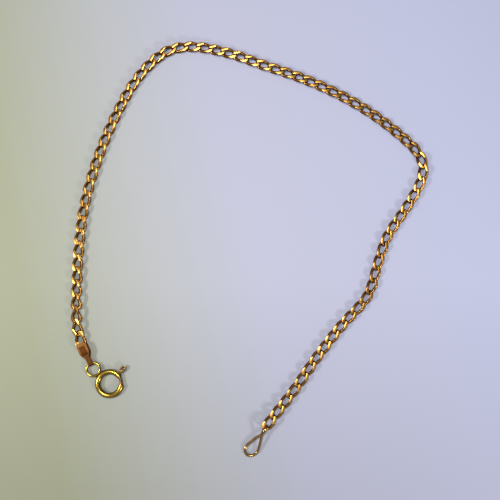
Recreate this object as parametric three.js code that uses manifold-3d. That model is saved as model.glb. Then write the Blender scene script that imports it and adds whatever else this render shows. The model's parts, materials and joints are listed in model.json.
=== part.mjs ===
// A chain anklet that lies open on a table: a filed curb chain with a folded end tag and a
// bolt ring at one end, and a figure-eight wire loop for the bolt ring at the other.
// Millimetres, +Z up, the table at z = 0.
import * as THREE from 'three';
import { mergeVertices } from 'three/addons/utils/BufferGeometryUtils.js';
import Module from 'manifold-3d';

// Chain
const LINK_WIRE = 0.74;           // diameter of the link wire
const LINK_HALF_LENGTH = 1.942;   // centre of a link to the middle of the wire at its end
const LINK_HALF_WIDTH = 0.93;     // centre of a link to the middle of the wire at its side
const LINK_TWIST = 0.53;          // how far the curb twist lifts and drops the wire
const CHAIN_HEIGHT = 1.2;         // thickness left between the filed faces
const LINK_BITE = 0.02;           // how far the wires of two neighbours run into each other
const LINKS_CLASP_SIDE = 37;      // links from the tag to the middle of the chain
const LINKS_LOOP_SIDE = 36;       // links from the middle to the end loop
const SLACK_GAP = 0.06;           // play between the two links at the middle of the chain
const LINK_SIDES = 5;
const LINK_STEPS = 10;

// Route of the links' centres on the table, from the tag round to the end loop, and how far
// the chain is rolled about its own line there (degrees, left side up).
const ROUTE = [
  { x: -41.5, y: -22.05, roll: 0 },
  { x: -42.5, y: -18.4, roll: -20 },
  { x: -42.7, y: -15.2, roll: -30 },
  { x: -42.8, y: -12.1, roll: -22 },
  { x: -42.8, y: -5.8, roll: -9 },
  { x: -42.6, y: 0.6, roll: -5 },
  { x: -41.7, y: 10.1, roll: -4 },
  { x: -39.7, y: 19.3, roll: -2 },
  { x: -36.8, y: 28.2, roll: 0 },
  { x: -33.1, y: 36.8, roll: 0 },
  { x: -30.1, y: 42.4, roll: 2 },
  { x: -26.2, y: 47.5, roll: 4 },
  { x: -21.1, y: 51.5, roll: 6 },
  { x: -15.0, y: 52.6, roll: 6 },
  { x: -5.6, y: 50.9, roll: 5 },
  { x: 3.5, y: 47.7, roll: 2 },
  { x: 12.9, y: 44.4, roll: 0 },
  { x: 21.6, y: 40.5, roll: 0 },
  { x: 30.0, y: 35.6, roll: 0 },
  { x: 37.6, y: 29.7, roll: 2 },
  { x: 42.1, y: 25.2, roll: 4 },
  { x: 43.5, y: 22.4, roll: 8 },
  { x: 43.6, y: 19.4, roll: 10 },
  { x: 42.6, y: 16.4, roll: 7 },
  { x: 39.3, y: 10.8, roll: 2 },
  { x: 35.8, y: 5.8, roll: 0 },
  { x: 34.2, y: 3.2, roll: 0 },
  { x: 32.0, y: -2.7, roll: 0 },
  { x: 30.1, y: -8.9, roll: -3 },
  { x: 28.9, y: -11.6, roll: -3 },
  { x: 26.9, y: -14.1, roll: 0 },
  { x: 22.4, y: -18.8, roll: 2 },
  { x: 16.4, y: -26.3, roll: 3 },
  { x: 10.75, y: -34.2, roll: 3 },
  { x: 4.6, y: -41.8, roll: 4 },
  { x: 2.7, y: -44.2, roll: 4 },
];
const FADE_LINKS = 4;             // links over which the chain comes down to the table
const LOOP_LIFT = 0.65;           // how far the end loop holds the last link up
const ROUTE_SAMPLES = 4000;

// End tag: one strip of sheet folded round the eye of the bolt ring
const TAG_LENGTH = 6.15;
const TAG_WIDTH = 2.4;
const TAG_SHEET = 0.22;
const TAG_NECK_WIDTH = 0.95;
const TAG_NECK_START = 4.2;       // from the wide end to where the neck begins
const TAG_TAPER_START = 2.6;      // from the wide end to where the sides start to close in
const TAG_ROUNDING = 0.9;         // corner radius of the wide end
const TAG_HEADING = -64;          // degrees from +X, from the wide end to the fold
const TAG_LINK_PLAY = 0.06;       // play between the last link and the two leaves
const POST_DIAMETER = 0.44;       // post across the leaves that holds the last link
const POST_INSET = 0.38;          // from the wide end to the middle of the post
const POST_PLAY = 0.06;
const POST_SIDES = 10;
const PANEL_DEPTH = 0.05;         // plain sunk panel on the upper leaf
const PANEL_LENGTH = 2.3;
const PANEL_WIDTH = 1.5;
const PANEL_START = 0.9;          // from the wide end

// Bolt ring
const RING_DIAMETER = 7.0;
const CASE_TUBE = 1.3;            // outer diameter of the case's tube
const BOLT_WIRE = 0.75;
const BOLT_PLAY = 0.1;            // radial play of the bolt in the case
const GAP_START_ANGLE = -6;       // degrees: the receiving end of the case
const GAP_END_ANGLE = 34;         // degrees: the end that the bolt comes out of
const BOLT_SEAT_ANGLE = 6;        // degrees that the closed bolt reaches into the receiving end
const BOLT_TAIL_ANGLE = 76;       // degrees of bolt hidden in the case
const TRIGGER_ANGLE = 48;         // degrees, closed
const TRIGGER_WIDTH = 1.25;
const TRIGGER_THICKNESS = 0.5;
const TRIGGER_REACH = 2.2;        // how far it stands out of the ring
const TRIGGER_STEM = 0.7;         // width of its stem in the slot
const TRIGGER_SLIT_WIDTH = 0.3;
const TRIGGER_SLIT_LENGTH = 0.95;
const TRIGGER_CLEARANCE = 0.1;    // round the stem, and under the trigger's shoulders
const EYE_DIAMETER = 3.8;         // outer diameter of the eye
const EYE_WIRE = 0.57;
const EYE_PLAY = 0.145;           // between the eye's wire and the tag's fold
const EYE_HEADING = -40;          // degrees from +X, from the eye's middle to the ring's
const SOLDER_DEPTH = 0.12;        // how far the eye's wire sinks into the case
const CASE_SIDES = 10;
const CASE_STEP_ANGLE = 14;       // degrees to a step of the case
const BOLT_SIDES = 8;
const BOLT_STEP_ANGLE = 11;
const EYE_SIDES = 8;
const EYE_STEPS = 16;

// End loop: a wire figure-eight. Its rows run once round the wire; along and side are shares
// of its length and half width, rise is a share of the height of the last link's middle.
const LOOP_WIRE = 0.6;
const LOOP_LENGTH = 8.5;
const LOOP_HALF_WIDTH = 1.5;
const LOOP_PLAY = 0.32;           // between the loop's top and the last link's end
const LOOP_HEADING = -123;        // degrees from +X
const LOOP_SIDES = 8;
const LOOP_STEPS = 48;
const LOOP_ROWS = [
  { along: 0, side: 0, rise: 1 },
  { along: 0.035, side: 0.03, rise: 1.53 },
  { along: 0.112, side: -0.06, rise: 1.71 },
  { along: 0.206, side: -0.09, rise: 1.53 },
  { along: 0.299, side: 0.12, rise: 1.25 },
  { along: 0.429, side: 0.45, rise: 0.97 },
  { along: 0.588, side: 0.75, rise: 0.67 },
  { along: 0.765, side: 1, rise: 0.38 },
  { along: 0.929, side: 0.7, rise: 0.28 },
  { along: 1, side: 0, rise: 0.28 },
  { along: 0.959, side: -0.63, rise: 0.28 },
  { along: 0.847, side: -0.97, rise: 0.3 },
  { along: 0.694, side: -0.8, rise: 0.35 },
  { along: 0.494, side: -0.45, rise: 0.45 },
  { along: 0.299, side: 0.09, rise: 0.57 },
  { along: 0.206, side: 0.25, rise: 0.4 },
  { along: 0.112, side: 0.15, rise: 0.31 },
  { along: 0.035, side: -0.03, rise: 0.52 },
];

// Facets of the small curves, and how the solids are joined and cut
const FOLD_FACETS = 7;
const CORNER_FACETS = 5;
const SLOT_FACETS = 10;
const TRIGGER_FACETS = 4;
const SAME_POINT = 1e-5;          // corners closer than this are one corner
const CUT_PAST = 1;               // how far a cutter reaches past what it cuts

const wasm = await Module();
wasm.setup();
const UP = new THREE.Vector3(0, 0, 1);

function gold(color, roughness) {
  return new THREE.MeshStandardMaterial({ color, roughness, metalness: 1 });
}

function asSolid(geometry) {
  const bare = geometry.clone();
  bare.deleteAttribute('normal');
  bare.deleteAttribute('uv');
  const merged = mergeVertices(bare, SAME_POINT);
  return new wasm.Manifold(new wasm.Mesh({
    numProp: 3,
    vertProperties: new Float32Array(merged.attributes.position.array),
    triVerts: new Uint32Array(merged.index.array),
  }));
}

function asGeometry(solid) {
  const mesh = solid.getMesh();
  const points = [];
  for (let i = 0; i < mesh.numVert; i++) {
    points.push(...mesh.vertProperties.slice(i * mesh.numProp, i * mesh.numProp + 3));
  }
  const geometry = new THREE.BufferGeometry();
  geometry.setAttribute('position', new THREE.Float32BufferAttribute(points, 3));
  geometry.setIndex(Array.from(mesh.triVerts));
  geometry.computeVertexNormals();
  return geometry;
}

// Radius of a regular polygon that has the area of a round wire.
function polygonRadius(diameter, sides) {
  const turn = (2 * Math.PI) / sides;
  return (diameter / 2) * Math.sqrt(turn / Math.sin(turn));
}

// A closed ring of wire: a torus whose sections are moved to the frames that frameAt gives.
function wireRing(diameter, sides, steps, frameAt) {
  const radius = polygonRadius(diameter, sides);
  const ring = new THREE.TorusGeometry(1, radius, sides, steps);
  const positions = ring.attributes.position;
  for (let i = 0; i <= steps; i++) {
    const { centre, outward, up } = frameAt(i % steps);
    for (let j = 0; j <= sides; j++) {
      const turn = (2 * Math.PI * (j % sides)) / sides;
      const point = centre.clone();
      point.addScaledVector(outward, radius * Math.cos(turn));
      point.addScaledVector(up, radius * Math.sin(turn));
      positions.setXYZ(j * (steps + 1) + i, point.x, point.y, point.z);
    }
  }
  return ring;
}

// One link at the origin, along X: an oval with the curb twist, filed flat above and below.
function linkGeometry() {
  const geometry = wireRing(LINK_WIRE, LINK_SIDES, LINK_STEPS, (i) => {
    const turn = (2 * Math.PI * i) / LINK_STEPS;
    const cos = Math.cos(turn);
    const sin = Math.sin(turn);
    const centre = new THREE.Vector3(
      LINK_HALF_LENGTH * cos,
      LINK_HALF_WIDTH * sin,
      -LINK_TWIST * Math.sin(2 * turn),
    );
    const tangent = new THREE.Vector3(
      -LINK_HALF_LENGTH * sin,
      LINK_HALF_WIDTH * cos,
      -2 * LINK_TWIST * Math.cos(2 * turn),
    ).normalize();
    const outward = new THREE.Vector3(LINK_HALF_WIDTH * cos, LINK_HALF_LENGTH * sin, 0);
    outward.normalize().addScaledVector(tangent, -outward.dot(tangent)).normalize();
    return { centre, outward, up: outward.clone().cross(tangent) };
  });
  const positions = geometry.attributes.position;
  const half = CHAIN_HEIGHT / 2;
  for (let i = 0; i < positions.count; i++) {
    positions.setZ(i, THREE.MathUtils.clamp(positions.getZ(i), -half, half));
  }
  return geometry;
}

// Walks along the route and gives each link's centre, heading and roll.
function walkRoute(pitchAfter, count) {
  const line = new THREE.CatmullRomCurve3(ROUTE.map((row) => new THREE.Vector3(row.x, row.y, 0)));
  const rolls = ROUTE.map((row) => row.roll);
  const rollAt = (share) => {
    const at = share * (rolls.length - 1);
    const before = Math.min(Math.floor(at), rolls.length - 2);
    return THREE.MathUtils.lerp(rolls[before], rolls[before + 1], at - before);
  };
  const places = [{ point: line.getPoint(0), roll: rollAt(0) }];
  for (let i = 1; i <= ROUTE_SAMPLES * 2 && places.length < count; i++) {
    const share = i / ROUTE_SAMPLES;
    // Past the last point the route runs straight on.
    const over = Math.max(0, share - 1);
    const end = line.getTangent(1).multiplyScalar(over * line.getLength());
    const point = line.getPoint(Math.min(share, 1)).add(end);
    const last = places[places.length - 1].point;
    if (point.distanceTo(last) >= pitchAfter(places.length - 1)) {
      places.push({ point, roll: rollAt(Math.min(share, 1)) });
    }
  }
  return places;
}

// Height of the lowest corner of a geometry once a matrix has moved it.
function lowestAfter(geometry, matrix) {
  const positions = geometry.attributes.position;
  const corner = new THREE.Vector3();
  let lowest = Infinity;
  for (let i = 0; i < positions.count; i++) {
    lowest = Math.min(lowest, corner.fromBufferAttribute(positions, i).applyMatrix4(matrix).z);
  }
  return lowest;
}

function rollMatrix(degrees) {
  return new THREE.Matrix4().makeRotationX(THREE.MathUtils.degToRad(degrees));
}

// Matrices that lay the links on the table, end to end along the route. Each rests on the
// lowest corner of its rolled link, and the links near the two ends are held up.
function linkMatrices(link) {
  const count = LINKS_CLASP_SIDE + LINKS_LOOP_SIDE;
  const widest = 2 * polygonRadius(LINK_WIRE, LINK_SIDES);
  const linkPitch = 2 * LINK_HALF_LENGTH - LINK_WIRE + LINK_BITE;
  const slackPitch = 2 * LINK_HALF_LENGTH - widest - SLACK_GAP;
  const pitchAfter = (index) => (index === LINKS_CLASP_SIDE - 1 ? slackPitch : linkPitch);
  const places = walkRoute(pitchAfter, count);
  const tagLift = TAG_SHEET + TAG_LINK_PLAY;
  places.forEach((place, index) => {
    const fromTag = Math.max(0, 1 - index / FADE_LINKS);
    const fromLoop = Math.max(0, 1 - (count - 1 - index) / FADE_LINKS);
    place.point.z = tagLift * fromTag ** 2 + LOOP_LIFT * fromLoop ** 2
      - lowestAfter(link, rollMatrix(place.roll));
  });
  return places.map((place, index) => {
    const before = places[Math.max(index - 1, 0)].point;
    const after = places[Math.min(index + 1, count - 1)].point;
    const heading = after.clone().sub(before);
    if (index === 0) {
      heading.z = 0;
    }
    heading.normalize();
    const left = UP.clone().cross(heading).normalize();
    const top = heading.clone().cross(left);
    const matrix = new THREE.Matrix4().makeBasis(heading, left, top);
    matrix.multiply(rollMatrix(place.roll)).setPosition(place.point);
    // A link whose end dips into the table is raised until it lies on it.
    place.point.z -= Math.min(0, lowestAfter(link, matrix));
    return matrix.setPosition(place.point);
  });
}

// Pockets that two links close in between them are filled: their shells have no volume of
// their own.
function withoutPockets(solid) {
  const [first, ...others] = solid.decompose().filter((piece) => piece.volume() > 0);
  return others.reduce((sum, piece) => sum.add(piece), first);
}

function chainHalf(name, link, matrices) {
  let chain = null;
  for (const matrix of matrices) {
    const solid = asSolid(link.clone().applyMatrix4(matrix));
    chain = chain ? chain.add(solid) : solid;
  }
  const joined = withoutPockets(chain);
  const mesh = new THREE.Mesh(asGeometry(joined), gold(0xd9a441, 0.22));
  mesh.name = name;
  return mesh;
}

// Extrudes an outline in the X-Z plane across Y, about the middle of Y.
function extrudeAcross(shape, width, curveSegments) {
  const options = { depth: width, bevelEnabled: false, curveSegments };
  const geometry = new THREE.ExtrudeGeometry(shape, options);
  geometry.translate(0, 0, -width / 2);
  return geometry.rotateX(Math.PI / 2);
}

function extrudeUp(shape, bottom, height, curveSegments) {
  const options = { depth: height, bevelEnabled: false, curveSegments };
  return new THREE.ExtrudeGeometry(shape, options).translate(0, 0, bottom);
}

// The tag in its own frame: the wide end at x = 0, the fold towards +X, its underside at z = 0.
function tagGeometry() {
  const gap = CHAIN_HEIGHT + 2 * TAG_LINK_PLAY;
  const height = gap + 2 * TAG_SHEET;
  const foldOuter = EYE_WIRE / 2 + EYE_PLAY + TAG_SHEET;
  const foldInner = foldOuter - TAG_SHEET;
  const foldX = TAG_LENGTH - foldOuter;
  const side = new THREE.Shape();
  side.moveTo(0, 0);
  side.lineTo(foldX, 0);
  side.absarc(foldX, foldOuter, foldOuter, -Math.PI / 2, Math.PI / 2, false);
  side.lineTo(TAG_TAPER_START, height);
  side.lineTo(0, height);
  side.lineTo(0, height - TAG_SHEET);
  side.lineTo(TAG_TAPER_START, height - TAG_SHEET);
  side.absarc(foldX, foldOuter, foldInner, Math.PI / 2, -Math.PI / 2, true);
  side.lineTo(0, TAG_SHEET);
  const strap = extrudeAcross(side, TAG_WIDTH, FOLD_FACETS);

  const plan = new THREE.Shape();
  const half = TAG_WIDTH / 2;
  const neck = TAG_NECK_WIDTH / 2;
  plan.moveTo(TAG_ROUNDING, -half);
  plan.lineTo(TAG_TAPER_START, -half);
  plan.lineTo(TAG_NECK_START, -neck);
  plan.lineTo(TAG_LENGTH + CUT_PAST, -neck);
  plan.lineTo(TAG_LENGTH + CUT_PAST, neck);
  plan.lineTo(TAG_NECK_START, neck);
  plan.lineTo(TAG_TAPER_START, half);
  plan.lineTo(TAG_ROUNDING, half);
  plan.absarc(TAG_ROUNDING, half - TAG_ROUNDING, TAG_ROUNDING, Math.PI / 2, Math.PI, false);
  plan.lineTo(0, TAG_ROUNDING - half);
  plan.absarc(TAG_ROUNDING, TAG_ROUNDING - half, TAG_ROUNDING, Math.PI, 1.5 * Math.PI, false);
  const cutter = extrudeUp(plan, -CUT_PAST, height + 2 * CUT_PAST, CORNER_FACETS);

  const post = new THREE.CylinderGeometry(
    POST_DIAMETER / 2, POST_DIAMETER / 2, height - TAG_SHEET, POST_SIDES,
  );
  post.rotateX(Math.PI / 2);
  post.translate(POST_INSET, 0, height / 2);

  const panel = new THREE.BoxGeometry(PANEL_LENGTH, PANEL_WIDTH, 2 * PANEL_DEPTH);
  panel.translate(PANEL_START + PANEL_LENGTH / 2, 0, height);
  const tag = asSolid(strap).intersect(asSolid(cutter)).add(asSolid(post));
  return asGeometry(tag.subtract(asSolid(panel)));
}

class Arc extends THREE.Curve {
  constructor(radius, fromDegrees, toDegrees) {
    super();
    this.radius = radius;
    this.from = THREE.MathUtils.degToRad(fromDegrees);
    this.to = THREE.MathUtils.degToRad(toDegrees);
  }

  getPoint(share) {
    const angle = THREE.MathUtils.lerp(this.from, this.to, share);
    return new THREE.Vector3(
      this.radius * Math.cos(angle),
      this.radius * Math.sin(angle),
      0,
    );
  }
}

function polygonShape(radius, sides) {
  const shape = new THREE.Shape();
  for (let i = 0; i < sides; i++) {
    const angle = (2 * Math.PI * (i + 0.5)) / sides;
    const point = [radius * Math.cos(angle), radius * Math.sin(angle)];
    if (i === 0) {
      shape.moveTo(...point);
    } else {
      shape.lineTo(...point);
    }
  }
  shape.closePath();
  return shape;
}

const ringRadius = RING_DIAMETER / 2;
const tubeLine = ringRadius - CASE_TUBE / 2;
const eyeLine = (EYE_DIAMETER - EYE_WIRE) / 2;
const eyeToRing = ringRadius + EYE_DIAMETER / 2 - SOLDER_DEPTH;
const halfStem = THREE.MathUtils.radToDeg(TRIGGER_STEM / 2 / ringRadius);
const stemPlay = THREE.MathUtils.radToDeg(TRIGGER_CLEARANCE / ringRadius);
// The bolt slides back until its tip is flush with the end it comes out of.
const boltTravel = GAP_END_ANGLE - GAP_START_ANGLE + BOLT_SEAT_ANGLE;

// The case at the origin in the ring's plane: an open tube with the slot for the trigger and
// the soldered eye that the tag holds.
function caseGeometry() {
  const span = 360 - (GAP_END_ANGLE - GAP_START_ANGLE);
  const section = polygonShape(CASE_TUBE / 2, CASE_SIDES);
  section.holes.push(polygonShape(BOLT_WIRE / 2 + BOLT_PLAY, CASE_SIDES));
  const tube = new THREE.ExtrudeGeometry(section, {
    steps: Math.round(span / CASE_STEP_ANGLE),
    bevelEnabled: false,
    extrudePath: new Arc(tubeLine, GAP_END_ANGLE, 360 + GAP_START_ANGLE),
  });

  const slotFrom = THREE.MathUtils.degToRad(TRIGGER_ANGLE - halfStem - stemPlay);
  const slotTo = THREE.MathUtils.degToRad(TRIGGER_ANGLE + boltTravel + halfStem + stemPlay);
  const sector = new THREE.Shape();
  sector.absarc(0, 0, ringRadius + CUT_PAST, slotFrom, slotTo, false);
  sector.absarc(0, 0, tubeLine, slotTo, slotFrom, true);
  const slotHeight = TRIGGER_THICKNESS + 2 * TRIGGER_CLEARANCE;
  const slot = extrudeUp(sector, -slotHeight / 2, slotHeight, SLOT_FACETS);

  const toEye = THREE.MathUtils.degToRad(EYE_HEADING + 180);
  const eye = wireRing(EYE_WIRE, EYE_SIDES, EYE_STEPS, (i) => {
    const turn = (2 * Math.PI * (i + 0.5)) / EYE_STEPS;
    const outward = new THREE.Vector3(Math.cos(turn), Math.sin(turn), 0);
    const centre = outward.clone().multiplyScalar(eyeLine);
    centre.x += eyeToRing * Math.cos(toEye);
    centre.y += eyeToRing * Math.sin(toEye);
    return { centre, outward, up: UP };
  });
  return asGeometry(asSolid(tube).subtract(asSolid(slot)).add(asSolid(eye)));
}

// The bolt at the origin in the ring's plane, closed: an arc of wire with its trigger.
function boltGeometry() {
  const from = GAP_START_ANGLE - BOLT_SEAT_ANGLE;
  const to = GAP_END_ANGLE + BOLT_TAIL_ANGLE;
  const wire = new THREE.ExtrudeGeometry(polygonShape(BOLT_WIRE / 2, BOLT_SIDES), {
    steps: Math.round((to - from) / BOLT_STEP_ANGLE),
    bevelEnabled: false,
    extrudePath: new Arc(tubeLine, from, to),
  });
  const shoulder = ringRadius + TRIGGER_CLEARANCE;
  const tip = ringRadius + TRIGGER_REACH;
  const halfWidth = TRIGGER_WIDTH / 2;
  const outline = new THREE.Shape();
  outline.moveTo(tubeLine, -TRIGGER_STEM / 2);
  outline.lineTo(shoulder, -TRIGGER_STEM / 2);
  outline.lineTo(shoulder, -halfWidth);
  outline.absarc(tip - halfWidth, 0, halfWidth, -Math.PI / 2, Math.PI / 2, false);
  outline.lineTo(shoulder, halfWidth);
  outline.lineTo(shoulder, TRIGGER_STEM / 2);
  outline.lineTo(tubeLine, TRIGGER_STEM / 2);
  const slit = new THREE.Path();
  const slitHalf = TRIGGER_SLIT_WIDTH / 2;
  const slitEnd = tip - halfWidth;
  const slitStart = slitEnd - (TRIGGER_SLIT_LENGTH - TRIGGER_SLIT_WIDTH);
  slit.absarc(slitEnd, 0, slitHalf, -Math.PI / 2, Math.PI / 2, false);
  slit.absarc(slitStart, 0, slitHalf, Math.PI / 2, 1.5 * Math.PI, false);
  outline.holes.push(slit);
  const trigger = extrudeUp(
    outline, -TRIGGER_THICKNESS / 2, TRIGGER_THICKNESS, TRIGGER_FACETS,
  );
  trigger.rotateZ(THREE.MathUtils.degToRad(TRIGGER_ANGLE));
  return asGeometry(asSolid(wire).add(asSolid(trigger)));
}

// The end loop with its top at the origin, running along +X; rest is the height of the last
// link's middle above the table.
function loopGeometry(rest) {
  const path = new THREE.CatmullRomCurve3(LOOP_ROWS.map((row) => new THREE.Vector3(
    row.along * LOOP_LENGTH,
    row.side * LOOP_HALF_WIDTH,
    row.rise * rest,
  )), true);
  const frames = path.computeFrenetFrames(LOOP_STEPS, true);
  return wireRing(LOOP_WIRE, LOOP_SIDES, LOOP_STEPS, (i) => ({
    centre: path.getPointAt(i / LOOP_STEPS),
    outward: frames.normals[i],
    up: frames.binormals[i].clone().negate(),
  }));
}

function headingOf(degrees) {
  const angle = THREE.MathUtils.degToRad(degrees);
  return new THREE.Vector3(Math.cos(angle), Math.sin(angle), 0);
}

function placed(name, geometry, material, point, degrees) {
  const mesh = new THREE.Mesh(geometry, material);
  mesh.name = name;
  mesh.position.copy(point);
  mesh.rotation.z = THREE.MathUtils.degToRad(degrees);
  return mesh;
}

const anklet = new THREE.Group();
const link = linkGeometry();
const matrices = linkMatrices(link);
const claspSide = matrices.slice(0, LINKS_CLASP_SIDE);
const loopSide = matrices.slice(LINKS_CLASP_SIDE);
anklet.add(chainHalf('clasp_side_chain', link, claspSide));
anklet.add(chainHalf('loop_side_chain', link, loopSide));

// The tag's post stands inside the tag end of the first link, the eye of the bolt ring lies in
// the tag's fold, and the ring lies past its eye.
const inner = LINK_HALF_LENGTH - polygonRadius(LINK_WIRE, LINK_SIDES);
const postReach = inner - POST_PLAY - POST_DIAMETER / 2;
const post = new THREE.Vector3(-postReach, 0, 0).applyMatrix4(claspSide[0]).setZ(0);
const tagLine = headingOf(TAG_HEADING);
const wideEnd = post.clone().addScaledVector(tagLine, -POST_INSET);
anklet.add(placed('end_tag', tagGeometry(), gold(0xb0702a, 0.3), wideEnd, TAG_HEADING));

const foldOuter = EYE_WIRE / 2 + EYE_PLAY + TAG_SHEET;
const eyeMiddle = wideEnd.clone().addScaledVector(tagLine, TAG_LENGTH - foldOuter + eyeLine);
const ringMiddle = eyeMiddle.clone().addScaledVector(headingOf(EYE_HEADING), eyeToRing);
ringMiddle.z = Math.max(CASE_TUBE / 2, foldOuter);
anklet.add(placed('bolt_ring_case', caseGeometry(), gold(0xd8a02c, 0.16), ringMiddle, 0));
anklet.add(placed('ring_bolt', boltGeometry(), gold(0xc98c3c, 0.25), ringMiddle, 0));

// The end loop's top lies inside the far end of the last link.
const lastLink = loopSide[loopSide.length - 1];
const loopReach = inner - LOOP_PLAY - LOOP_WIRE / 2;
const loopTop = new THREE.Vector3(loopReach, 0, 0).applyMatrix4(lastLink);
const loop = loopGeometry(loopTop.z);
loopTop.z = 0;
anklet.add(placed('end_loop', loop, gold(0xd9a63a, 0.18), loopTop, LOOP_HEADING));

// The origin is under the middle of the whole anklet.
const bounds = new THREE.Box3().setFromObject(anklet, true);
const middle = bounds.getCenter(new THREE.Vector3());
anklet.position.set(-middle.x, -middle.y, -bounds.min.z);

export default anklet;
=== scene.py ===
# %% [markdown]
# # A gold chain anklet, laid open on a table
# The anklet is a filed curb chain. At one end a folded tag holds a bolt ring, and at the other
# end hangs a figure-eight wire loop that the ring hooks into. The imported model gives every
# piece its place and its motion. This lesson dresses it with fine pieces, one step at a time.

# %% Load the fixed frame
import json
import math

import bmesh
import bpy
from mathutils import Matrix, Vector, noise


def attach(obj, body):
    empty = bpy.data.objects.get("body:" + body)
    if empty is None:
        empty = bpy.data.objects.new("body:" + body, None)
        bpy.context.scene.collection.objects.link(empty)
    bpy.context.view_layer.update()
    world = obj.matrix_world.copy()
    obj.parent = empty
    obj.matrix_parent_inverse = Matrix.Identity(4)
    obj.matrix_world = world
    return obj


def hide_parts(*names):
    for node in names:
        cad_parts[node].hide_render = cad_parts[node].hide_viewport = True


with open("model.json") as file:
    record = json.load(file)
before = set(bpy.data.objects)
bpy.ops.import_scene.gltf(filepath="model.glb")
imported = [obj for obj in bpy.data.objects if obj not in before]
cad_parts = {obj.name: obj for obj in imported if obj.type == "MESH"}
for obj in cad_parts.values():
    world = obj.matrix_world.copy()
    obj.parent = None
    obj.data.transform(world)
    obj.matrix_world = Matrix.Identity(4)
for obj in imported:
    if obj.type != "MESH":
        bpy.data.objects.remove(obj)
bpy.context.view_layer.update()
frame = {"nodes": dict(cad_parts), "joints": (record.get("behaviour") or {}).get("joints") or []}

print("nodes:", sorted(frame["nodes"]))

# %% [markdown]
# ## Working in millimetres
# Jewellery is measured in millimetres, so the pieces are modelled in millimetres and scaled
# to metres when they are finished. A finished piece has its place in its mesh: its object
# stays at the origin, unturned and unscaled.

# %% Helpers for finished pieces
MM = 0.001
FULL_TURN = 2 * math.pi
UP = Vector((0, 0, 1))
SHARP_EDGE_DEGREES = 60


def heading_of(degrees):
    angle = math.radians(degrees)
    return Vector((math.cos(angle), math.sin(angle), 0))


def mesh_of(bm, name):
    mesh = bpy.data.meshes.new(name)
    bm.to_mesh(mesh)
    bm.free()
    return mesh


def finish_piece(name, mesh, place, sharp_degrees=38):
    """Moves a mesh in millimetres to its place, scales it to metres and shades it smooth."""
    mesh.transform(Matrix.Scale(MM, 4) @ place)
    mesh.name = name
    mesh.shade_smooth()
    mesh.set_sharp_from_angle(angle=math.radians(sharp_degrees))
    piece = bpy.data.objects.new(name, mesh)
    bpy.context.scene.collection.objects.link(piece)
    triangles = sum(len(face.vertices) - 2 for face in mesh.polygons)
    print(name, "has", triangles, "triangles")
    return piece


def joined_solid(mesh, other):
    """One mesh from two closed ones, by the Boolean modifier."""
    body = bpy.data.objects.new("body_of_solid", mesh)
    tool = bpy.data.objects.new("tool_of_solid", other)
    for item in (body, tool):
        bpy.context.scene.collection.objects.link(item)
    boolean = body.modifiers.new("join", "BOOLEAN")
    boolean.operation = "UNION"
    boolean.solver = "MANIFOLD"
    boolean.object = tool
    graph = bpy.context.evaluated_depsgraph_get()
    result = bpy.data.meshes.new_from_object(body.evaluated_get(graph))
    for item in (body, tool):
        bpy.data.objects.remove(item)
    return result


def each_once(items):
    """The items in order, without repeats."""
    return list(dict.fromkeys(items))


def edges_of(verts):
    return each_once(edge for vert in verts for edge in vert.link_edges)


def paint(piece, material):
    piece.data.materials.clear()
    piece.data.materials.append(material)


def sharp_edges(bm):
    return [edge for edge in bm.edges if len(edge.link_faces) == 2
            and edge.calc_face_angle() > math.radians(SHARP_EDGE_DEGREES)]


def round_edges(bm, edges, offset, segments):
    bmesh.ops.bevel(bm, geom=edges, offset=offset, offset_type="OFFSET", segments=segments,
                    profile=0.5, affect="EDGES", material=-1, clamp_overlap=True)


def cap_openings(bm, offset, segments):
    """Fills every opening flat and rounds its rim."""
    rims = [edge for edge in bm.edges if edge.is_boundary]
    caps = bmesh.ops.holes_fill(bm, edges=rims, sides=0)
    rims = each_once(edge for face in caps["faces"] for edge in face.edges)
    round_edges(bm, rims, offset, segments)


def thicken(bm, thickness):
    """Gives flat faces a thickness, half of it above them and half below."""
    solid = bmesh.ops.extrude_face_region(bm, geom=bm.faces[:])
    moved = [item for item in solid["geom"] if isinstance(item, bmesh.types.BMVert)]
    bmesh.ops.translate(bm, vec=(0, 0, thickness), verts=moved)
    bmesh.ops.translate(bm, vec=(0, 0, -thickness / 2), verts=bm.verts)
    bmesh.ops.recalc_face_normals(bm, faces=bm.faces)


# %% [markdown]
# ## A closed ring of wire
# Links, the eye of the bolt ring and the end loop are all one thing: a round wire bent into a
# ring and soldered shut. A circle spun all the way round gives the ring, and `use_merge`
# welds its seam. Each section is then moved to the frame that the real wire has there, so one
# helper makes every wire, and no seam or pole is left open.

# %% Helper for rings of wire
WIRE_SIDES = 18
SPUN_RING_RADII = 4


def wire_ring(bm, wire_radius, sides, steps, frame_at):
    """frame_at(share of the way round) gives the wire's middle, outward and up."""
    spread = SPUN_RING_RADII * wire_radius
    stand = Matrix.Translation((spread, 0, 0)) @ Matrix.Rotation(math.pi / 2, 4, "X")
    circle = bmesh.ops.create_circle(bm, segments=sides, radius=wire_radius, matrix=stand)
    bmesh.ops.spin(bm, geom=circle["verts"] + edges_of(circle["verts"]), cent=(0, 0, 0),
                   axis=UP, angle=FULL_TURN, steps=steps, use_merge=True)
    frames = [frame_at(step / steps) for step in range(steps)]
    for vert in bm.verts:
        turn = math.atan2(vert.co.y, vert.co.x)
        centre, outward, up = frames[round(turn / FULL_TURN * steps) % steps]
        out = math.hypot(vert.co.x, vert.co.y) - spread
        vert.co = centre + outward * out + up * vert.co.z
    bmesh.ops.recalc_face_normals(bm, faces=bm.faces)


# %% [markdown]
# ## The route of the chain
# The photo shows where each link lies. A chain is laid link by link at one pitch, so the route
# is a smooth line through a few points, and the links are counted off along it. The points are
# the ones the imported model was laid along, in millimetres, each with the degrees that the
# chain is rolled there about its own line.

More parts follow.
